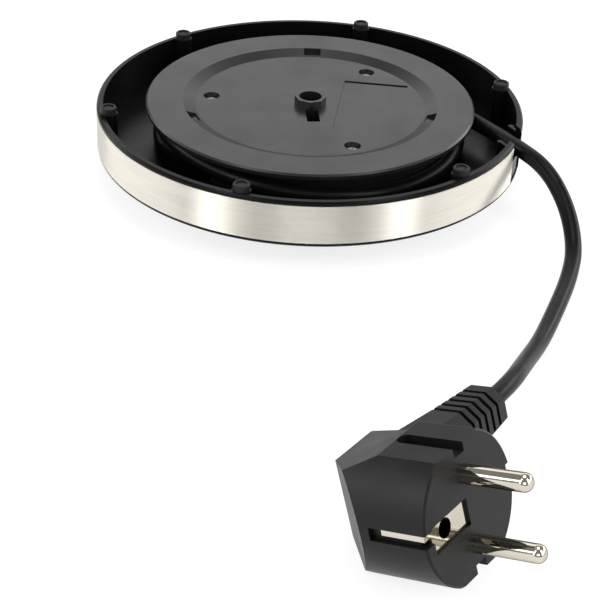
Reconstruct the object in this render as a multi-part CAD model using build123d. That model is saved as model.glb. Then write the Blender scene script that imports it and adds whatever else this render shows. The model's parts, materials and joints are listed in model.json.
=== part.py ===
from build123d import *
import math
import os

# Power base of a cordless kettle with its cord and angled plug, lying upside down: the underside
# with its feet and cord drum faces +Z, and the connector hub that the kettle plugs on stands on
# z = 0. The origin is on the floor under the base's centre. All sizes are millimetres.

# ---- driving dimensions: base -------------------------------------------------------------
RIM_R = 73.0            # outer radius of the housing rim
RIM_IN_R = 70.9         # inner radius of the rim wall
BAND_R = 73.2           # outer radius of the steel band
BAND_T = 0.5            # sheet thickness of the band
HUB_H = 9.0             # the connector hub stands this far out of the top face
BASE_H = 15.9           # height of the base without hub and feet
LIP_Z = HUB_H + BASE_H  # plane of the rim lip
EDGE_H = 1.4            # black edges above and below the band
PLATE_IN_Z = 11.2       # inner face of the top plate: the floor of the cord channel
PLATE_T = 1.8
HUB_R = 21.4
HUB_ROOT_R = 24.0
HUB_MOUTH_R = 15.0
HUB_WALL = 2.0
GAP = 0.05              # air between pieces that sit in each other

# ---- cover, feet and screws ---------------------------------------------------------------
DISC_R = 56.4
FLANGE_T = 2.2
PANEL_R = 39.6          # sunk middle panel of the cover
STEP_R = 43.8           # outer edge of the sloped step round the panel
PANEL_DROP = 0.7        # the panel lies below the rim lip
FLANGE_RISE = 0.9       # and the flange round it above the lip
DRUM_R = 48.2
DRUM_T = 2.0
BOSS_R = 5.0
BOSS_HOLE_R = 3.9
BOSS_H = 2.8
FOOT_ANGLES = (15.0, 75.0, 133.5, 193.0, 253.0, 315.0)
FOOT_ORBIT = 69.4
FOOT_R = 2.75
FOOT_H = 2.3
FOOT_DISH_R = 1.8       # shallow dish in the foot's end
FOOT_DISH = 0.4
FOOT_STEM_R = 1.4
FOOT_STEM_L = 5.5
SCREW_ANGLES = (55.0, 175.0, 295.0)
SCREW_ORBIT = 34.3
SCREW_HEAD_R = 2.6
SCREW_SINK_R = 2.8
SCREW_SHANK_R = 1.1

# ---- cord ---------------------------------------------------------------------------------
CORD_D = 5.4
CORD_LENGTH = 710.0
WIND_R = 51.2           # centreline radius of the turns on the drum
NOTCH_ANGLE = -15.3     # where the cord crosses the rim, degrees
NOTCH_R = 72.25
NOTCH_FLOOR_Z = 17.5
LOW_TURN_Z = 14.2
HIGH_TURN_Z = 19.6
CORE_D = 2.2

# ---- connector ----------------------------------------------------------------------------
NOSE_R = 14.7
SOCKET_R = 18.6
SLOT_IN_R = 6.5
SLOT_OUT_R = 11.5
SLOT_Z = 11.3
SOCKET_TOP_Z = 13.8
NOSE_Z = 0.4
PIN_HOLE_R = 3.3
EARTH_BORE_R = 2.9
SHUTTER_Z = 0.8
SHUTTER_T = 2.0
SHUTTER_CLEAR = 0.3

# ---- plug, in its own frame: X along the pins, Y along the cord, Z across the pins ----------
PIN_R = 2.4
PIN_LENGTH = 19.0
PIN_SPACING = 19.0
PLUG_R = 19.1
PLUG_FLAT = 16.9
RELIEF_X = -25.7        # the cord's line lies this far behind the face
RELIEF_START = 17.0
RELIEF_END = 49.0
PLUG_AT = (41.9, -215.3, 21.4)
PLUG_YAW = -35.1
PLUG_TILT = 18.0

parts = {}


def add(name, shape):
    parts[name] = shape


def polar(radius, degrees, z=0.0):
    turn = math.radians(degrees)
    return (radius * math.cos(turn), radius * math.sin(turn), z)


def rod(radius, z0, z1, x=0.0, y=0.0):
    """Upright cylinder from z0 to z1."""
    return Pos(x, y, z0) * Cylinder(radius, z1 - z0, align=(Align.CENTER, Align.CENTER, Align.MIN))


def ring(inner, outer, z0, z1, x=0.0, y=0.0):
    return rod(outer, z0, z1, x, y) - rod(inner, z0 - 1, z1 + 1, x, y)


def block(x0, x1, y0, y1, z0, z1):
    """Box between two corners."""
    centre = Pos((x0 + x1) / 2, (y0 + y1) / 2, (z0 + z1) / 2)
    return centre * Box(x1 - x0, y1 - y0, z1 - z0)


def turned(outline):
    """Solid of revolution round Z from an (r, z) outline."""
    points = [(r, 0, z) for r, z in outline]
    return revolve(make_face(Polyline(*points, close=True)), Axis.Z, 360)


def around(shape, degrees):
    return Rot(0, 0, degrees) * shape


def group(shapes):
    return Compound(children=list(shapes))


def arc_radii(route):
    """The largest arc that each corner's two runs allow."""
    radii = []
    for before, corner, after in zip(route, route[1:], route[2:]):
        run_in = Vector(*corner) - Vector(*before)
        run_out = Vector(*after) - Vector(*corner)
        half = math.radians(run_in.get_angle(run_out)) / 2
        radii.append(0.45 * min(run_in.length, run_out.length) / math.tan(half))
    return radii


def tube(route, diameter, name):
    """Round tube of straight runs joined by tangent arcs."""
    radii = arc_radii(route)
    path = FilletPolyline(*route, radius=radii) if radii else Polyline(*route)
    start = Plane(origin=path @ 0, z_dir=path % 0)
    solid = sweep(start * Circle(diameter / 2), path=path)
    expected = math.pi * diameter ** 2 / 4 * path.length
    print(f"{name}: length {path.length:.1f}, volume ratio {solid.volume / expected:.4f}, "
          f"radii {[round(r) for r in radii]}")
    return solid, path.length


# ============================================================================================
# Cord route
# ============================================================================================

leave_angle = NOTCH_ANGLE + math.degrees(math.acos(WIND_R / NOTCH_R))
leave_point = polar(WIND_R, leave_angle, HIGH_TURN_Z)
notch_point = polar(NOTCH_R, NOTCH_ANGLE, 20.7)

relief_frame = Plane(
    origin=PLUG_AT,
    x_dir=Vector(1, 0, 0).rotate(Axis.Y, -PLUG_TILT).rotate(Axis.Z, PLUG_YAW),
    z_dir=Vector(0, 0, 1).rotate(Axis.Y, -PLUG_TILT).rotate(Axis.Z, PLUG_YAW),
)


def plug_place(shape):
    """Moves a piece from the plug's own frame to where the plug lies."""
    return relief_frame.location * shape


def plug_point(x, y, z):
    return tuple(relief_frame.from_local_coords(Vector(x, y, z)))


# From the turns on the drum, out through the notch, down to the floor and up to the plug.
lead_route = [
    leave_point,
    (57.1, 3.3, 18.7),
    notch_point,
    (78.4, -34.0, 20.6),
    (84.8, -45.8, 13.0),
    (86.8, -59.0, 5.0),
    (83.4, -74.5, 2.72),
    (77.6, -92.5, 2.7),
    (70.8, -112.0, 2.75),
    (64.0, -130.5, 7.4),
    plug_point(RELIEF_X, RELIEF_END + 12.5, 0),
    plug_point(RELIEF_X, RELIEF_END, 0),
]
cord_lead, lead_length = tube(lead_route, CORD_D, "cord_lead")

# Inside the drum the cord spirals out from its clamp to the turns.
SPIRAL = ((35.0, 46.0), (41.2, 33.0), (46.8, 20.0), (50.2, 8.0))
spiral_length = 31.0
wound_degrees = math.degrees((CORD_LENGTH - lead_length - spiral_length) / WIND_R)
wind_start = leave_angle + wound_degrees
print(f"turns start at {wind_start:.1f} degrees and take {wound_degrees:.1f} degrees")

entry_route = [polar(r, wind_start + turn, LOW_TURN_Z) for r, turn in SPIRAL]
entry_route.append(polar(WIND_R, wind_start, LOW_TURN_Z))
cord_entry, entry_length = tube(entry_route, CORD_D, "cord_entry")

cord_turns = ring(WIND_R - CORD_D / 2, WIND_R + CORD_D / 2,
                  LOW_TURN_Z - CORD_D / 2 - GAP, HIGH_TURN_Z + CORD_D / 2 + GAP)
add("cord_lead", cord_lead)
add("cord_turns", cord_turns)
add("cord_entry", cord_entry)

# ============================================================================================
# Top housing
# ============================================================================================

EDGE_BEVEL = 0.6
band_seat_r = BAND_R - BAND_T - GAP
plate_out_z = PLATE_IN_Z - PLATE_T
housing = turned([
    (HUB_MOUTH_R, 0), (HUB_R - 1.2, 0), (HUB_R, 1.2), (HUB_ROOT_R, plate_out_z),
    (68.0, plate_out_z), (69.0, HUB_H), (RIM_R - EDGE_BEVEL, HUB_H), (RIM_R, HUB_H + EDGE_BEVEL),
    (RIM_R, HUB_H + EDGE_H), (band_seat_r, HUB_H + EDGE_H), (band_seat_r, LIP_Z - EDGE_H),
    (RIM_R, LIP_Z - EDGE_H), (RIM_R, LIP_Z - EDGE_BEVEL), (RIM_R - EDGE_BEVEL, LIP_Z),
    (RIM_IN_R, LIP_Z), (RIM_IN_R, PLATE_IN_Z), (HUB_ROOT_R - HUB_WALL, PLATE_IN_Z),
    (HUB_R - HUB_WALL, HUB_WALL), (HUB_MOUTH_R, HUB_WALL),
])

COLUMN_R = 3.1
for angle in FOOT_ANGLES:
    x, y, _ = polar(FOOT_ORBIT, angle)
    housing += rod(COLUMN_R, PLATE_IN_Z, LIP_Z, x, y)
for angle in FOOT_ANGLES:
    x, y, _ = polar(FOOT_ORBIT, angle)
    housing -= rod(FOOT_STEM_R + GAP, LIP_Z - FOOT_STEM_L - GAP, LIP_Z + 1, x, y)

POST_R = 3.4
POST_TOP = 19.4
SCREW_LENGTH = 7.0
SCREW_HEAD_Z = 20.8
for angle in SCREW_ANGLES:
    x, y, _ = polar(SCREW_ORBIT, angle)
    housing += rod(POST_R, PLATE_IN_Z, POST_TOP, x, y)
    housing -= rod(SCREW_SHANK_R + GAP, SCREW_HEAD_Z - SCREW_LENGTH - 1, POST_TOP + 1, x, y)

RETAINER_ANGLES = (85.0, 205.0, 325.0)
RETAINER_ORBIT = 27.5
RETAINER_POST_R = 2.3
RETAINER_Z = SOCKET_TOP_Z + GAP
RETAINER_T = 1.6
SMALL_SHANK_R = 0.8
for angle in RETAINER_ANGLES:
    x, y, _ = polar(RETAINER_ORBIT, angle)
    housing += rod(RETAINER_POST_R, PLATE_IN_Z, RETAINER_Z - GAP, x, y)
    housing -= rod(SMALL_SHANK_R + GAP, PLATE_IN_Z + 0.2, RETAINER_Z + 1, x, y)

# The notch that lets the cord out is cut along the cord, with a guide wall on each side.
cord_heading = math.degrees(math.atan2(notch_point[1] - leave_point[1], notch_point[0] - leave_point[0]))
lead_frame = Pos(notch_point[0], notch_point[1], 0) * Rot(0, 0, cord_heading)
NOTCH_FAR = 3.6         # half width on the far side of the cord
NOTCH_NEAR = 4.8
housing -= lead_frame * block(-6, 14, -NOTCH_NEAR, NOTCH_FAR, NOTCH_FLOOR_Z, LIP_Z + 1)
GUIDE_T = 1.2
guide_top = LIP_Z - 2.0
far_guide = block(-9.8, -4.6, NOTCH_FAR, NOTCH_FAR + GUIDE_T, PLATE_IN_Z, guide_top)
far_guide += rod(1.0, PLATE_IN_Z, guide_top, -9.8, NOTCH_FAR + GUIDE_T - 0.4)
near_guide = block(-1.6, 4.6, -NOTCH_NEAR - GUIDE_T, -NOTCH_NEAR, PLATE_IN_Z, guide_top)
near_guide += rod(1.0, PLATE_IN_Z, guide_top, -1.6, -NOTCH_NEAR - GUIDE_T + 0.4)
inside_rim = rod(RIM_IN_R + 0.4, 0, LIP_Z)
housing += (lead_frame * (far_guide + near_guide)) & inside_rim

# Saddle under the cord clamp.
sheath_end = Vector(*entry_route[0])
back = (sheath_end - Vector(*entry_route[1])).normalized()
side = Vector(-back.Y, back.X, 0)
CLAMP_IN = 3.6          # clamp's middle, from the end of the sheath
CLAMP_HALF = 7.4
CLAMP_HALF_DEPTH = 2.6
CLAMP_SCREW_Y = 5.3
clamp_at = sheath_end - back * CLAMP_IN
clamp_frame = Pos(clamp_at.X, clamp_at.Y, 0) * Rot(0, 0, math.degrees(math.atan2(back.Y, back.X)))
cord_tunnel = clamp_frame * Pos(0, 0, LOW_TURN_Z) * Rot(0, 90, 0) * Cylinder(CORD_D / 2 + 0.35, 30)
saddle = clamp_frame * block(-CLAMP_HALF_DEPTH, CLAMP_HALF_DEPTH, -CLAMP_HALF, CLAMP_HALF,
                             PLATE_IN_Z, LOW_TURN_Z - 0.2)
housing += saddle
housing -= cord_tunnel
clamp_holes = [clamp_frame * rod(SMALL_SHANK_R + GAP, PLATE_IN_Z + 0.3, 25, 0, side * CLAMP_SCREW_Y)
               for side in (-1, 1)]
for hole in clamp_holes:
    housing -= hole
add("top_housing", housing)

# ---- steel band: open at the notch ---------------------------------------------------------
band = ring(BAND_R - BAND_T, BAND_R, HUB_H + EDGE_H + GAP, LIP_Z - EDGE_H - GAP)
band -= lead_frame * block(-6, 16, -NOTCH_NEAR - 0.4, NOTCH_FAR + 0.4, 0, LIP_Z + 1)
add("steel_band", band)

# ============================================================================================
# Bottom cover with the cord drum
# ============================================================================================

panel_z = LIP_Z - PANEL_DROP
flange_z = LIP_Z + FLANGE_RISE
under_z = flange_z - FLANGE_T
panel_under_z = panel_z - FLANGE_T
DRUM_FOOT_Z = PLATE_IN_Z + 0.2
BOSS_TUBE_Z = 18.7
cover = turned([
    (BOSS_HOLE_R, panel_z), (PANEL_R, panel_z), (STEP_R, flange_z), (DISC_R - 0.6, flange_z),
    (DISC_R, flange_z - 0.6), (DISC_R, under_z + 0.4), (DISC_R - 0.4, under_z), (DRUM_R, under_z),
    (DRUM_R, panel_under_z),
    (BOSS_R + 0.4, panel_under_z), (BOSS_R + 0.4, BOSS_TUBE_Z), (BOSS_HOLE_R, BOSS_TUBE_Z),
])
boss = extrude(Pos(0, 0, panel_z - 0.1) * RegularPolygon(BOSS_R, 8, major_radius=False), BOSS_H + 0.1)
cover += boss - rod(BOSS_HOLE_R, 0, 40)

for angle in SCREW_ANGLES:
    x, y, _ = polar(SCREW_ORBIT, angle)
    cover += rod(4.6, POST_TOP + 0.1, panel_under_z, x, y)
    cover -= rod(SCREW_SINK_R, SCREW_HEAD_Z, LIP_Z, x, y)
    cover -= rod(SCREW_SHANK_R + 0.4, POST_TOP - 1, LIP_Z, x, y)

# Slot beside the boss, three small notches in the step and the sunk plain panel.
SLOT_W = 4.4
cover -= around(block(BOSS_R + 0.2, 14.3, -SLOT_W / 2, SLOT_W / 2, panel_under_z - 1, LIP_Z), -84)
for angle in (90, 202, 347):
    cover -= around(block(PANEL_R + 0.8, STEP_R, -3, 3, panel_z - 0.3, flange_z + 1), angle)
PLATE_W = 22.4
PLATE_L = 39.0
RECESS = 0.3
panel_frame = Pos(21.0, -0.4, 0) * Rot(0, 0, -6)
cover -= panel_frame * block(-PLATE_W / 2, PLATE_W / 2, -PLATE_L / 2, PLATE_L / 2, panel_z - RECESS, LIP_Z)
cover -= panel_frame * block(-PLATE_W / 2, PLATE_W / 2, PLATE_L / 2 - 0.9, PLATE_L / 2,
                             panel_z - 1.0, LIP_Z)

# The drum wall is open where the cord comes through it.
WINDOW_HALF = 13.5
WINDOW_TURN = 17.0
window = block(DRUM_R - 6, DRUM_R + 1, -WINDOW_HALF, WINDOW_HALF, 0, LOW_TURN_Z + CORD_D / 2 + 0.8)
drum = ring(DRUM_R - DRUM_T, DRUM_R, DRUM_FOOT_Z, panel_under_z - GAP)
drum -= around(window, wind_start + WINDOW_TURN)
add("bottom_cover", cover)
add("cord_drum", drum)

# ---- rubber feet ---------------------------------------------------------------------------
feet = []
for angle in FOOT_ANGLES:
    x, y, _ = polar(FOOT_ORBIT, angle)
    head = rod(FOOT_R, LIP_Z, LIP_Z + FOOT_H, x, y)
    head = chamfer(head.edges().group_by(Axis.Z)[-1], 0.3)
    head -= rod(FOOT_DISH_R, LIP_Z + FOOT_H - FOOT_DISH, LIP_Z + FOOT_H + 1, x, y)
    feet.append(head + rod(FOOT_STEM_R, LIP_Z - FOOT_STEM_L, LIP_Z + 0.5, x, y))
add("rubber_feet", group(feet))


def screw(x, y, head_z, head_r, head_h, shank_r, length):
    """Pan-head screw that points down, with a cross recess in its head."""
    head = rod(head_r, head_z, head_z + head_h, x, y)
    head = chamfer(head.edges().group_by(Axis.Z)[-1], head_h * 0.4)
    arm = head_r * 0.62
    thick = head_r * 0.14
    for dx, dy in ((arm, thick), (thick, arm)):
        head -= block(x - dx, x + dx, y - dy, y + dy, head_z + head_h * 0.4, head_z + head_h + 1)
    return head + rod(shank_r, head_z - length, head_z + 0.2, x, y)


add("cover_screws", group(
    screw(*polar(SCREW_ORBIT, a)[:2], SCREW_HEAD_Z, SCREW_HEAD_R, 1.8, SCREW_SHANK_R, SCREW_LENGTH)
    for a in SCREW_ANGLES))

# ============================================================================================
# Connector that the kettle sits on
# ============================================================================================

REAR_TUBE_R = 5.0
REAR_TUBE_Z = 17.0
socket = turned([
    (PIN_HOLE_R, NOSE_Z + 0.8), (PIN_HOLE_R + 0.8, NOSE_Z), (SLOT_IN_R - 0.5, NOSE_Z),
    (SLOT_IN_R, NOSE_Z + 0.5), (SLOT_IN_R, SLOT_Z), (SLOT_OUT_R, SLOT_Z), (SLOT_OUT_R, NOSE_Z + 0.5),
    (SLOT_OUT_R + 0.5, NOSE_Z), (NOSE_R - 0.4, NOSE_Z), (NOSE_R, NOSE_Z + 0.4), (NOSE_R, HUB_WALL + GAP),
    (SOCKET_R, HUB_WALL + GAP), (SOCKET_R, SOCKET_TOP_Z), (REAR_TUBE_R, SOCKET_TOP_Z),
    (REAR_TUBE_R, REAR_TUBE_Z), (PIN_HOLE_R, REAR_TUBE_Z),
])

CONTACT_Z0 = 8.0
CONTACT_Z1 = SLOT_Z - GAP
CONTACT_T = 0.6
TAB_TOP = 19.4
NEUTRAL_ANGLE = 90.0
LIVE_ANGLE = 210.0
EARTH_ANGLE = 330.0
neutral_r = SLOT_IN_R + GAP
live_r = SLOT_OUT_R - GAP - CONTACT_T
tab_slot = block(0, CONTACT_T + 2 * GAP, -1.6, 1.6, CONTACT_Z1 - 1, SOCKET_TOP_Z + 1)


def ring_contact(inner_r, angle):
    """Contact ring with a tab that goes back through the socket's floor."""
    tab = block(inner_r, inner_r + CONTACT_T, -1.5, 1.5, CONTACT_Z1 - 1, SOCKET_TOP_Z + 0.4)
    tab += block(inner_r, inner_r + CONTACT_T, -2.4, 2.4, SOCKET_TOP_Z + 0.4, TAB_TOP)
    return ring(inner_r, inner_r + CONTACT_T, CONTACT_Z0, CONTACT_Z1) + around(tab, angle)


for inner_r, angle in ((neutral_r, NEUTRAL_ANGLE), (live_r, LIVE_ANGLE)):
    socket -= around(Pos(inner_r - GAP, 0, 0) * tab_slot, angle)
add("connector_socket", socket)
add("neutral_contact", ring_contact(neutral_r, NEUTRAL_ANGLE))
add("live_contact", ring_contact(live_r, LIVE_ANGLE))

EARTH_TOP = 18.2
EARTH_TAB_OUT = 11.5
earth_contact = ring(EARTH_BORE_R, PIN_HOLE_R - GAP, 3.0, EARTH_TOP)
earth_contact += around(block(3.0, EARTH_TAB_OUT, -2.4, 2.4, EARTH_TOP - CONTACT_T, EARTH_TOP)
                        - rod(EARTH_BORE_R, 0, 30), EARTH_ANGLE)
add("earth_contact", earth_contact)

shutter = ring(SLOT_IN_R + SHUTTER_CLEAR, SLOT_OUT_R - SHUTTER_CLEAR, SHUTTER_Z, SHUTTER_Z + SHUTTER_T)
shutter = chamfer(shutter.edges().group_by(Axis.Z)[0], 0.35)
shutter -= ring(8.3, 9.7, SHUTTER_Z + 1.4, SHUTTER_Z + SHUTTER_T + 1)
add("shutter_ring", shutter)

SPRING_R = 9.0
SPRING_WIRE_R = 0.3
spring_z0 = SHUTTER_Z + 1.4 + SPRING_WIRE_R
spring_z1 = SLOT_Z - GAP - SPRING_WIRE_R
coil = Pos(0, 0, spring_z0) * Helix(pitch=(spring_z1 - spring_z0) / 4, height=spring_z1 - spring_z0,
                                    radius=SPRING_R)
spring_section = Plane(origin=coil @ 0, z_dir=coil % 0) * Circle(SPRING_WIRE_R)
add("shutter_spring", sweep(spring_section, path=coil, is_frenet=True))

retainer = ring(13.2, 24.2, RETAINER_Z, RETAINER_Z + RETAINER_T)
for angle in RETAINER_ANGLES:
    ear = around(block(20, RETAINER_ORBIT, -3.4, 3.4, RETAINER_Z, RETAINER_Z + RETAINER_T), angle)
    x, y, _ = polar(RETAINER_ORBIT, angle)
    retainer += ear + rod(3.4, RETAINER_Z, RETAINER_Z + RETAINER_T, x, y)
    retainer -= rod(SMALL_SHANK_R + 0.2, 0, 30, x, y)
add("connector_retainer", retainer - rod(13.2, 0, 30))
add("retainer_screws", group(
    screw(*polar(RETAINER_ORBIT, a)[:2], RETAINER_Z + RETAINER_T, 1.8, 1.2, SMALL_SHANK_R, 3.9)
    for a in RETAINER_ANGLES))

# ---- spade terminals and core wires ----------------------------------------------------------
TERMINAL_W = 6.6
TERMINAL_T = 2.6
TERMINAL_Z0 = 15.8
TERMINAL_Z1 = 20.8


def terminal(centre_r, angle):
    """Push-on receptacle over an upright tab."""
    half = TERMINAL_T / 2
    body = block(centre_r - half, centre_r + half, -TERMINAL_W / 2, TERMINAL_W / 2, TERMINAL_Z0, TERMINAL_Z1)
    slot = block(centre_r - CONTACT_T / 2 - GAP, centre_r + CONTACT_T / 2 + GAP, -2.5, 2.5,
                 TERMINAL_Z0 - 1, TAB_TOP + GAP)
    return around(body - slot, angle)


neutral_tab_r = neutral_r + CONTACT_T / 2
live_tab_r = live_r + CONTACT_T / 2
earth_clip = around(block(7.2, EARTH_TAB_OUT + 0.6, -3.3, 3.3, EARTH_TOP - 1.6, EARTH_TOP + 1.0)
                    - block(7, EARTH_TAB_OUT + GAP, -2.5, 2.5, EARTH_TOP - CONTACT_T - GAP, EARTH_TOP + GAP),
                    EARTH_ANGLE)
add("spade_terminals", group([
    terminal(neutral_tab_r, NEUTRAL_ANGLE), terminal(live_tab_r, LIVE_ANGLE), earth_clip]))

# The three cores fan out of the cord's end to the terminals.
CORE_Z = 18.3


def core_start(shift, lift):
    """Where a core leaves the sheath, on the sheath's end face."""
    return sheath_end + side * shift + Vector(0, 0, lift)


def mouth(radius, angle, along, z):
    """Point beside a terminal, a distance along its width."""
    x, y, _ = polar(radius, angle)
    turn = math.radians(angle + 90)
    return Vector(x + along * math.cos(turn), y + along * math.sin(turn), z)


def core(name, start, bends, end):
    route = [start, start + back * 6.0, *bends, end]
    solid, _ = tube([tuple(p) for p in route], CORE_D, name)
    add(name, solid)


half_width = TERMINAL_W / 2
core("wire_neutral", core_start(1.3, -0.75),
     [Vector(-9.5, -25.0, 16.0), Vector(-18.0, -13.5, CORE_Z), Vector(-18.5, -1.0, CORE_Z),
      mouth(neutral_tab_r, NEUTRAL_ANGLE, half_width + 8.0, CORE_Z)],
     mouth(neutral_tab_r, NEUTRAL_ANGLE, half_width, CORE_Z))
core("wire_live", core_start(0, 1.5),
     [Vector(-4.0, -26.5, 17.5), mouth(live_tab_r, LIVE_ANGLE, half_width + 8.0, CORE_Z)],
     mouth(live_tab_r, LIVE_ANGLE, half_width, CORE_Z))
core("wire_earth", core_start(-1.3, -0.75),
     [Vector(3.5, -27.5, 15.5), Vector(14.5, -20.5, 17.6), Vector(*polar(EARTH_TAB_OUT + 9, EARTH_ANGLE, 17.9))],
     Vector(*polar(EARTH_TAB_OUT + 0.6, EARTH_ANGLE, 17.9)))

# ---- cord clamp --------------------------------------------------------------------------------
CLAMP_Z = LOW_TURN_Z + 0.2
CLAMP_TOP = LOW_TURN_Z + CORD_D / 2 + 1.6
bar = block(-CLAMP_HALF_DEPTH, CLAMP_HALF_DEPTH, -CLAMP_HALF, CLAMP_HALF, CLAMP_Z, CLAMP_TOP)
bar = fillet(bar.edges().filter_by(Axis.X).group_by(Axis.Z)[-1], 1.2)
for y in (-CLAMP_SCREW_Y, CLAMP_SCREW_Y):
    bar -= rod(SMALL_SHANK_R + 0.2, 0, 30, 0, y)
add("cord_clamp", clamp_frame * bar - cord_tunnel)
add("clamp_screws", group(
    clamp_frame * screw(0, y, CLAMP_TOP, 1.5, 1.2, SMALL_SHANK_R, 5.5)
    for y in (-CLAMP_SCREW_Y, CLAMP_SCREW_Y)))

# ============================================================================================
# Plug
# ============================================================================================

SHOULDER_X = -17.0
REAR_X = -35.0
REAR_FLAT = 10.7
NECK_Y = 30.5


def side_prism(outline):
    """Outline of (x, z) points drawn across the cord and extruded along it."""
    face = make_face(Polyline(*[(x, 0, z) for x, z in outline], close=True))
    return Pos(0, 50, 0) * extrude(face, amount=100, dir=(0, -1, 0))


def plan_prism(outline, half):
    """Outline of (x, y) points extruded both ways across the pins."""
    face = make_face(Polyline(*[(x, y, 0) for x, y in outline], close=True))
    return extrude(face, amount=half, both=True)


def pin_rod(radius, x0, x1, y=0.0, z=0.0):
    """Cylinder along the pins."""
    return Pos((x0 + x1) / 2, y, z) * Rot(0, 90, 0) * Cylinder(radius, x1 - x0)


def cord_rod(radius, y0, y1):
    """Cylinder along the cord's line in the plug."""
    return Pos(RELIEF_X, (y0 + y1) / 2, 0) * Rot(90, 0, 0) * Cylinder(radius, y1 - y0)


front = pin_rod(PLUG_R, REAR_X, 0)
front = chamfer(front.edges().group_by(Axis.X)[-1], 0.5)
front &= plan_prism([(1, -PLUG_R), (-19, -PLUG_R), (REAR_X, -4), (REAR_X, 11.5), (SHOULDER_X - 0.5, 4.5),
                     (SHOULDER_X, PLUG_R), (1, PLUG_R)], PLUG_FLAT)
front &= side_prism([(1, PLUG_FLAT), (SHOULDER_X, PLUG_FLAT), (REAR_X, REAR_FLAT),
                     (REAR_X, -REAR_FLAT), (SHOULDER_X, -PLUG_FLAT), (1, -PLUG_FLAT)])
rear_edges = front.edges().filter_by(lambda e: e.center().X < REAR_X + 1.0)
front = fillet(rear_edges, 1.0)


def octagon(wide, high, cut, y):
    """Section with cut corners, square to the cord's line."""
    w, h = wide / 2, high / 2
    outline = [(w, h - cut), (w - cut, h), (cut - w, h), (-w, h - cut),
               (-w, cut - h), (cut - w, -h), (w - cut, -h), (w, cut - h)]
    return make_face(Polyline(*[(RELIEF_X + x, y, z) for x, z in outline], close=True))


neck = loft([octagon(18.0, 20.6, 4.1, 3.0), octagon(15.2, 14.6, 3.4, NECK_Y)])
plug_shape = front + neck
GROOVE_HALF = 2.1
GROOVE_DEPTH = 2.4
for z in (-PLUG_FLAT, PLUG_FLAT):
    groove = block(SHOULDER_X + GROOVE_HALF, 1, -GROOVE_HALF, GROOVE_HALF,
                   z - GROOVE_DEPTH, z + GROOVE_DEPTH)
    groove += Pos(SHOULDER_X + GROOVE_HALF, 0, z) * Cylinder(GROOVE_HALF, 2 * GROOVE_DEPTH)
    plug_shape -= groove

# Hollow for the pin carrier, the crimps and the cores.
CARRIER_R = 14.0
CARRIER_X = -9.0
SHANK_R = 2.0           # the pins are thinner inside the plug
FACE_SKIN = 1.2
plug_shape -= pin_rod(CARRIER_R + GAP, CARRIER_X - GAP, -FACE_SKIN)
plug_shape -= block(-30.5, -21.5, 8.9, 13.0, -3.4, 3.4)
plug_shape -= block(-30.5, -20.5, 4.4, 9.0, -6.6, 6.6)
plug_shape -= block(-30.5, CARRIER_X, -5.0, 4.5, -7.6, 7.6)
plug_shape -= block(-26.0, CARRIER_X, -10.4, 4.5, -7.6, 7.6)
plug_shape -= block(-23.5, CARRIER_X, -4.0, 3.5, -11.8, 11.8)
plug_shape -= cord_rod(CORD_D / 2 + GAP, 12, NECK_Y + 1)
for z in (-PIN_SPACING / 2, PIN_SPACING / 2):
    plug_shape -= pin_rod(SHANK_R + GAP, CARRIER_X, 1, 0, z)

# Earth contact: a strip along the near side that turns on to the face, and a socket for a pin.
EARTH_Y = -10.0
EARTH_R = 2.5
STRIP_T = 0.8
strip_side_y = -17.6
SLOT_LOW = -0.5
SLOT_HIGH = 2.9
STRIP_LOW = 1.1         # the strip fills the upper part of the slot
WINDOW_Y = -15.6
plug_shape -= block(-16.3, 1, -PLUG_R - 1, strip_side_y, SLOT_LOW, SLOT_HIGH)
plug_shape -= block(-3.0, 1, -PLUG_R - 1, WINDOW_Y, SLOT_LOW, SLOT_HIGH)
plug_shape -= block(-3.0, 1, WINDOW_Y - 0.1, -0.8, -3.8, 3.4)
plug_shape -= pin_rod(EARTH_R + 0.7, -20, 0, EARTH_Y, 0.3)
plug_shape -= block(-17.0, 1, 17.2, PLUG_R + 1, -2.6, 2.6)
clip = block(-1.6, -1.6 + STRIP_T, WINDOW_Y, -0.9, -3.7, 3.3)
clip += block(-1.6, -1.6 + STRIP_T, strip_side_y, WINDOW_Y + 1, STRIP_LOW, SLOT_HIGH - 0.1)
clip += block(-13.0, -1.6 + STRIP_T, strip_side_y - STRIP_T, strip_side_y, STRIP_LOW, SLOT_HIGH - 0.1)
clip -= pin_rod(EARTH_R + 0.05, -5, 1, EARTH_Y, 0.3)
earth_socket = pin_rod(EARTH_R + 0.6, -16, -1.6 - GAP, EARTH_Y, 0.3)
earth_socket -= pin_rod(EARTH_R, -15.2, 0, EARTH_Y, 0.3)
add("plug_body", plug_place(plug_shape))
add("plug_earth_clip", plug_place(clip))
add("plug_earth_socket", plug_place(earth_socket))

carrier = pin_rod(CARRIER_R, CARRIER_X, -FACE_SKIN - GAP)
carrier -= pin_rod(EARTH_R + 0.75, -20, 1, EARTH_Y, 0.3)
carrier -= block(-3.2, 1, -20, -0.6, -4.0, 3.6)
for z in (-PIN_SPACING / 2, PIN_SPACING / 2):
    carrier -= pin_rod(SHANK_R + GAP, -20, 1, 0, z)
add("plug_pin_carrier", plug_place(carrier))

CRIMP_R = 1.9
PIN_TIP = 2.1
pins = []
crimps = []
for z in (-PIN_SPACING / 2, PIN_SPACING / 2):
    pin = pin_rod(PIN_R, 0, PIN_LENGTH, 0, z)
    pin = fillet(pin.edges().group_by(Axis.X)[-1], PIN_TIP)
    pins.append(pin + pin_rod(SHANK_R, CARRIER_X - 0.6, 1, 0, z))
    crimps.append(pin_rod(CRIMP_R, CARRIER_X - 5.6, CARRIER_X - 0.6, 0, z))
add("plug_live_pin", plug_place(pins[0]))
add("plug_neutral_pin", plug_place(pins[1]))
crimps.append(pin_rod(1.6, -20.0, -16.0, EARTH_Y + 1.2, 0.3))
add("plug_crimps", plug_place(group(crimps)))

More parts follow.
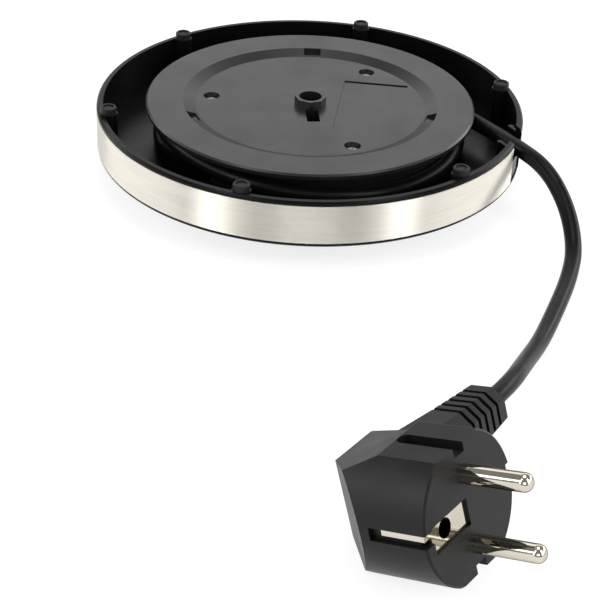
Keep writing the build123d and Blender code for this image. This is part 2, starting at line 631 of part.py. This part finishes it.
# Cores inside the plug, from the sheath's end to the crimps.
SHEATH_Y = 12.6
core_ends = [(Vector(CARRIER_X - 5.6, 0, -PIN_SPACING / 2), -0.8, -1.3),
             (Vector(CARRIER_X - 5.6, 0, PIN_SPACING / 2), -0.8, 1.3),
             (Vector(-20.0, EARTH_Y + 1.2, 0.3), 1.5, 0.0)]
plug_cores = []
for number, (end, dx, dz) in enumerate(core_ends):
    begin = Vector(RELIEF_X - dx, SHEATH_Y, dz)
    route = [begin, begin + Vector(0, -4.5, 0), end + Vector(-3.4, 0, 0), end]
    solid, _ = tube([tuple(p) for p in route], CORE_D, f"plug_core_{number}")
    plug_cores.append(solid)
add("plug_core_wires", plug_place(group(plug_cores)))

# Ribbed strain relief, an octagon in section, round the sheath's last stretch.
RELIEF_WIDE = 12.9
RELIEF_HIGH = 11.8
GROOVES = 5
GROOVE_PITCH = 3.2
GROOVE_LENGTH = 1.3
GROOVE_CUT = 1.0
FIRST_GROOVE = 31.4

relief = loft([octagon(15.2, 14.6, 3.4, NECK_Y), octagon(RELIEF_WIDE, RELIEF_HIGH, 3.1, RELIEF_END)])
for i in range(GROOVES):
    y0 = FIRST_GROOVE + i * GROOVE_PITCH
    shrink = 2 * GROOVE_CUT
    wide = 15.0 - i * 0.38 - shrink
    high = 14.4 - i * 0.44 - shrink
    cutter = block(RELIEF_X - 12, RELIEF_X + 12, y0, y0 + GROOVE_LENGTH, -12, 12)
    core_face = octagon(wide, high, 3.0, y0 - 0.5)
    cutter -= extrude(core_face, amount=GROOVE_LENGTH + 1, dir=(0, 1, 0))
    relief -= cutter
relief -= cord_rod(CORD_D / 2 + GAP, NECK_Y - 1, RELIEF_END + 1)
add("plug_strain_relief", plug_place(relief))
add("plug_cord_end", plug_place(cord_rod(CORD_D / 2, SHEATH_Y, RELIEF_END)))

# ============================================================================================
# Files
# ============================================================================================

os.makedirs("parts", exist_ok=True)
for name, shape in parts.items():
    shape.label = name
    export_step(shape, f"parts/{name}.step")
    box = shape.bounding_box()
    print(f"{name:20s} {shape.volume:9.0f} mm3  z {box.min.Z:6.2f} .. {box.max.Z:6.2f}")
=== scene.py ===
import json
import math

import bpy
from mathutils import Matrix, Vector


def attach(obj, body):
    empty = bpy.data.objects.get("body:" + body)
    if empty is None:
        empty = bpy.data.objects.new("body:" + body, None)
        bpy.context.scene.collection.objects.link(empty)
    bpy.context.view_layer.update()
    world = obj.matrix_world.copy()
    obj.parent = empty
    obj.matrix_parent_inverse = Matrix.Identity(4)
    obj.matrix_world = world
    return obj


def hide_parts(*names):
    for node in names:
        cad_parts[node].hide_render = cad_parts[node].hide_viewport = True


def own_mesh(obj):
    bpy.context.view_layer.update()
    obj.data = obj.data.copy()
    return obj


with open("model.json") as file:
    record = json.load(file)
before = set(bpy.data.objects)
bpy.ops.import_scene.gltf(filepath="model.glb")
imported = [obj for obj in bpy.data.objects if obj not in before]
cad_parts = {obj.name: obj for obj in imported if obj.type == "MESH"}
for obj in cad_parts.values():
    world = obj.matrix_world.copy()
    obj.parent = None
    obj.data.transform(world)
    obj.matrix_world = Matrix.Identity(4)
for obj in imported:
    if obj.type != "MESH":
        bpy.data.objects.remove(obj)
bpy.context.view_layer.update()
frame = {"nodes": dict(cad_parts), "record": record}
nodes = frame["nodes"]
scene = bpy.context.scene
MM = 0.001

# ---- camera --------------------------------------------------------------------------------
CAMERA_AT = Vector((-0.6, -533.6, 274.1)) * MM
CAMERA_DOWN = math.radians(31.7)
CAMERA_ROLL = math.radians(2.45)
LENS = 102.0
SENSOR = 36.0

camera_data = bpy.data.cameras.new("camera")
camera_data.lens = LENS
camera_data.sensor_width = SENSOR
camera = bpy.data.objects.new("camera", camera_data)
scene.collection.objects.link(camera)
camera.matrix_world = (
    Matrix.Translation(CAMERA_AT)
    @ Matrix.Rotation(math.pi / 2 - CAMERA_DOWN, 4, "X")
    @ Matrix.Rotation(CAMERA_ROLL, 4, "Z")
)
scene.camera = camera
scene.view_settings.view_transform = "Standard"
scene.view_settings.look = "None"

# ---- sizes that the pieces share with the CAD model, in millimetres ---------------------------
CORD_D = 5.4
WIND_R = 51.2
LOW_TURN_Z = 14.2
HIGH_TURN_Z = 19.6
LEAVE_ANGLE = 29.63
WIND_START = 555.53
RIM_R = 73.0


def polar(radius, degrees, z=0.0):
    turn = math.radians(degrees)
    return Vector((radius * math.cos(turn), radius * math.sin(turn), z))


# ---- materials ------------------------------------------------------------------------------


def new_material(name):
    """Empty node material with its shader, and a function that adds nodes to it."""
    material = bpy.data.materials.new(name)
    material.use_nodes = True
    tree = material.node_tree
    shader = tree.nodes["Principled BSDF"]

    def add(kind, inputs=None, **settings):
        node = tree.nodes.new(kind)
        for key, value in settings.items():
            setattr(node, key, value)
        for key, value in (inputs or {}).items():
            if isinstance(value, bpy.types.NodeSocket):
                tree.links.new(value, node.inputs[key])
            else:
                node.inputs[key].default_value = value
        return node

    return material, tree, shader, add


def noise(add, vector, scale, detail=3.0, roughness=0.55):
    node = add("ShaderNodeTexNoise", {"Vector": vector, "Scale": scale, "Detail": detail,
                                      "Roughness": roughness})
    return node.outputs["Fac"]


def remap(add, value, low, high, from_low=0.3, from_high=0.7):
    node = add("ShaderNodeMapRange", {"Value": value, "From Min": from_low, "From Max": from_high,
                                      "To Min": low, "To Max": high})
    return node.outputs["Result"]


def two_tone(add, fac, dark, light, low=0.3, high=0.7):
    """Colour that drifts between two tones."""
    ramp = add("ShaderNodeValToRGB", {"Fac": fac})
    for element, place, tone in zip(ramp.color_ramp.elements, (low, high), (dark, light)):
        element.position = place
        element.color = (*(min(1.0, c) for c in tone), 1.0)
    return ramp.outputs["Color"]


DRIFT_SCALE = 28.0      # noise cells per metre: slow colour drift and dust-dull patches
PATCH_SCALE = 60.0
TARNISH_SCALE = 90.0    # the same on metal, with handling marks
MARK_SCALE = 240.0
STREAK_SCALE = 5200.0   # brushing lines and the broad bands between them
BROAD_SCALE = 700.0
STREAK_STRETCH = 0.06   # lines run on round the rim, so noise is squeezed that way


def plastic(name, color, rough, grain=2200.0, grain_depth=0.02, wear=0.12, gloss=0.5):
    """Moulded plastic: fine grain, slow colour drift, dust-dull patches."""
    material, tree, shader, add = new_material(name)
    position = add("ShaderNodeTexCoord").outputs["Object"]
    drift = noise(add, position, DRIFT_SCALE, 4.0)
    tone = two_tone(add, drift, [c * (1 - wear) for c in color], [c * (1 + wear) for c in color])
    tree.links.new(tone, shader.inputs["Base Color"])
    patches = noise(add, position, PATCH_SCALE, 5.0)
    tree.links.new(remap(add, patches, rough * 0.88, rough * 1.14), shader.inputs["Roughness"])
    fine = noise(add, position, grain, 2.0)
    bump = add("ShaderNodeBump", {"Height": fine, "Strength": 1.0, "Distance": grain_depth * MM})
    tree.links.new(bump.outputs["Normal"], shader.inputs["Normal"])
    shader.inputs["Specular IOR Level"].default_value = gloss
    return material


EDGE_DIM = 0.4          # plating darkens this much towards its outline


def metal(name, color, rough, grain=900.0, depth=0.004, tint=0.06):
    """Plated or drawn metal with faint handling marks."""
    material, tree, shader, add = new_material(name)
    position = add("ShaderNodeTexCoord").outputs["Object"]
    tarnish = noise(add, position, TARNISH_SCALE, 5.0)
    tone = two_tone(add, tarnish, [c * (1 - tint) for c in color], [c * (1 + tint) for c in color])
    tree.links.new(tone, shader.inputs["Base Color"])
    marks = noise(add, position, MARK_SCALE, 6.0)
    tree.links.new(remap(add, marks, rough * 0.8, rough * 1.25), shader.inputs["Roughness"])
    bump = add("ShaderNodeBump", {"Height": noise(add, position, grain, 3.0), "Distance": depth * MM})
    tree.links.new(bump.outputs["Normal"], shader.inputs["Normal"])
    shader.inputs["Metallic"].default_value = 1.0
    shader.inputs["Specular Tint"].default_value = tuple(c * EDGE_DIM for c in color) + (1.0,)
    return material


def brushed_band(name, color, rough):
    """Sheet steel brushed round the side: fine lines that follow the rim."""
    material, tree, shader, add = new_material(name)
    position = add("ShaderNodeTexCoord").outputs["Object"]
    split = add("ShaderNodeSeparateXYZ", {"Vector": position})
    angle = add("ShaderNodeMath", {0: split.outputs["Y"], 1: split.outputs["X"]}, operation="ARCTAN2")
    along_rim = {0: angle.outputs[0], 1: RIM_R * MM * STREAK_STRETCH}
    around = add("ShaderNodeMath", along_rim, operation="MULTIPLY")
    lines = add("ShaderNodeCombineXYZ", {"X": around.outputs[0], "Z": split.outputs["Z"]}).outputs["Vector"]
    streaks = noise(add, lines, STREAK_SCALE, 4.0, 0.6)
    broad = noise(add, lines, BROAD_SCALE, 3.0)
    tone = two_tone(add, broad, [c * 0.93 for c in color], [c * 1.05 for c in color], 0.25, 0.75)
    tree.links.new(tone, shader.inputs["Base Color"])
    tree.links.new(remap(add, streaks, rough * 0.85, rough * 1.15), shader.inputs["Roughness"])
    bump = add("ShaderNodeBump", {"Height": streaks, "Strength": 0.6, "Distance": 0.004 * MM})
    tree.links.new(bump.outputs["Normal"], shader.inputs["Normal"])
    tangent = add("ShaderNodeTangent", direction_type="RADIAL", axis="Z")
    tree.links.new(tangent.outputs["Tangent"], shader.inputs["Tangent"])
    shader.inputs["Metallic"].default_value = 1.0
    # The brushing spreads each highlight up and down the band, so light boxes show as upright zones.
    shader.inputs["Anisotropic"].default_value = 1.0
    shader.inputs["Anisotropic Rotation"].default_value = 0.25
    return material


finishes = {
    "black_plastic": plastic("black_plastic", (0.003, 0.003, 0.0032), 0.28, 1500.0, 0.002, gloss=0.1),
    "charcoal_plastic": plastic("charcoal_plastic", (0.008, 0.008, 0.0085), 0.33, 2600.0, 0.012, gloss=0.46),
    "band_steel": brushed_band("band_steel", (0.78, 0.75, 0.675), 0.48),
    "foot_rubber": plastic("foot_rubber", (0.008, 0.008, 0.008), 0.5, 1800.0, 0.02, gloss=0.25),
    "screw_steel": metal("screw_steel", (0.9, 0.9, 0.88), 0.5),
    "contact_brass": metal("contact_brass", (0.75, 0.6, 0.32), 0.28),
    "connector_plastic": plastic("connector_plastic", (0.03, 0.03, 0.03), 0.45),
    "shutter_plastic": plastic("shutter_plastic", (0.12, 0.12, 0.125), 0.45),
    "spring_steel": metal("spring_steel", (0.55, 0.55, 0.56), 0.3),
    "cord_pvc": plastic("cord_pvc", (0.004, 0.004, 0.0042), 0.34, 900.0, 0.01, gloss=0.12),
    "core_brown": plastic("core_brown", (0.16, 0.06, 0.025), 0.4),
    "core_blue": plastic("core_blue", (0.03, 0.12, 0.42), 0.4),
    "core_green": plastic("core_green", (0.28, 0.45, 0.05), 0.4),
    "plug_pvc": plastic("plug_pvc", (0.0055, 0.0053, 0.0052), 0.42, 2400.0, 0.03, gloss=0.22),
    "pin_nickel": metal("pin_nickel", (0.62, 0.58, 0.49), 0.07),
    "carrier_plastic": plastic("carrier_plastic", (0.25, 0.25, 0.25), 0.5),
}
for part in frame["record"]["subparts"]:
    data = nodes[part["node"]].data
    data.materials.clear()
    data.materials.append(finishes[part["material_slot"]])


def piece(name, data, slot_name, replaced=()):
    obj = bpy.data.objects.new(name, data)
    scene.collection.objects.link(obj)
    data.materials.append(finishes[slot_name])
    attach(obj, "base")
    if replaced:
        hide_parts(*replaced)
    return obj


# ---- shutter spring: its own copy of the CAD coil, placed where the CAD spring stands -----------
spring_node = nodes["shutter_spring"]
spring = piece("shutter_coil", spring_node.data.copy(), "spring_steel", ("shutter_spring",))
spring.matrix_world = spring_node.matrix_world
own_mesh(spring)

# ---- cord -------------------------------------------------------------------------------------
# From its clamp inside the drum it spirals out, winds round the drum, and leaves by the notch.
SPIRAL = ((35.0, 46.0), (41.2, 33.0), (46.8, 20.0), (50.2, 8.0))
TURN_POINTS = 14
RAMP_FROM = 300.0
RAMP_TO = 222.0
control_r = WIND_R / math.cos(math.pi / TURN_POINTS)

PLUG_AT = Vector((41.9, -215.3, 21.4))
PLUG_YAW = math.radians(-35.1)
PLUG_TILT = math.radians(18.0)
RELIEF_X = -25.7
RELIEF_END = 49.0
plug_frame = (
    Matrix.Translation(PLUG_AT * MM)
    @ Matrix.Rotation(PLUG_YAW, 4, "Z")
    @ Matrix.Rotation(-PLUG_TILT, 4, "Y")
)


def plug_point(x, y, z):
    return plug_frame @ (Vector((x, y, z)) * MM)


route = [polar(r, WIND_START + turn, LOW_TURN_Z) * MM for r, turn in SPIRAL]
step = 360.0 / TURN_POINTS
angle = WIND_START
while angle > LEAVE_ANGLE + step / 2:
    climb = min(1.0, max(0.0, (RAMP_FROM - angle) / (RAMP_FROM - RAMP_TO)))
    z = LOW_TURN_Z + (HIGH_TURN_Z - LOW_TURN_Z) * climb
    route.append(polar(control_r, angle, z) * MM)
    angle -= step
LEAD = [
    (57.1, 3.3, 18.7),
    (69.685, -19.063, 20.7),
    (78.4, -34.0, 20.6),
    (84.8, -45.8, 13.0),
    (86.8, -59.0, 5.0),
    (83.4, -74.5, 2.72),
    (77.6, -92.5, 2.7),
    (70.8, -112.0, 2.75),
    (64.0, -130.5, 7.4),
]
route += [Vector(p) * MM for p in LEAD]
route += [plug_point(RELIEF_X, RELIEF_END + 12.5, 0), plug_point(RELIEF_X, RELIEF_END, 0)]

curve = bpy.data.curves.new("mains_cord", "CURVE")
curve.dimensions = "3D"
curve.resolution_u = 12
curve.bevel_depth = CORD_D / 2 * MM
curve.bevel_resolution = 8
curve.use_fill_caps = True
spline = curve.splines.new("NURBS")
spline.points.add(len(route) - 1)
for control, place in zip(spline.points, route):
    control.co = (*place, 1.0)
spline.order_u = 3
spline.use_endpoint_u = True
cord = piece("mains_cord", curve, "cord_pvc", ("cord_lead", "cord_turns", "cord_entry"))

# ---- floor and light ----------------------------------------------------------------------------
FLOOR = 4.0
floor_mesh = bpy.data.meshes.new("floor")
corners = [(-FLOOR, -FLOOR, 0), (FLOOR, -FLOOR, 0), (FLOOR, FLOOR, 0), (-FLOOR, FLOOR, 0)]
floor_mesh.from_pydata(corners, [], [(0, 1, 2, 3)])
floor = bpy.data.objects.new("floor", floor_mesh)
scene.collection.objects.link(floor)
floor_material, floor_tree, floor_shader, _ = new_material("floor")
floor_shader.inputs["Base Color"].default_value = (0.3, 0.3, 0.3, 1)
floor_shader.inputs["Roughness"].default_value = 0.9
floor_shader.inputs["Specular IOR Level"].default_value = 0.0
floor_shader.inputs["Emission Color"].default_value = (1, 1, 1, 1)
floor_shader.inputs["Emission Strength"].default_value = 0.78
floor_mesh.materials.append(floor_material)

world = bpy.data.worlds.new("studio")
world.use_nodes = True
world.node_tree.nodes["Background"].inputs["Color"].default_value = (1, 1, 1, 1)
world.node_tree.nodes["Background"].inputs["Strength"].default_value = 0.3
scene.world = world

# name, place, width, height, power; every box faces the base.
LIGHTS = [
    ("left_box", (-0.62, -0.54, 0.5), 0.24, 0.9, 3.6),
    ("right_box", (0.66, -0.55, 0.5), 0.24, 0.9, 3.8),
    ("left_panel", (-1.1, 0.1, 0.4), 1.3, 0.4, 5.5),
    ("right_panel", (1.1, 0.2, 0.4), 1.7, 0.4, 9.0),
    ("front_fill", (0.03, -1.25, 0.5), 0.7, 0.4, 2.5),
    ("top_box", (0.0, 0.1, 1.3), 0.7, 0.7, 5.0),
    ("back_panel", (0.0, 1.5, 0.85), 2.4, 0.8, 7.5),
]
for name, place, width, height, power in LIGHTS:
    light = bpy.data.lights.new(name, "AREA")
    light.shape = "RECTANGLE"
    light.size = width
    light.size_y = height
    light.energy = power
    lamp = bpy.data.objects.new(name, light)
    scene.collection.objects.link(lamp)
    lamp.location = place
    lamp.rotation_euler = (-Vector(place)).to_track_quat("-Z", "Y").to_euler()
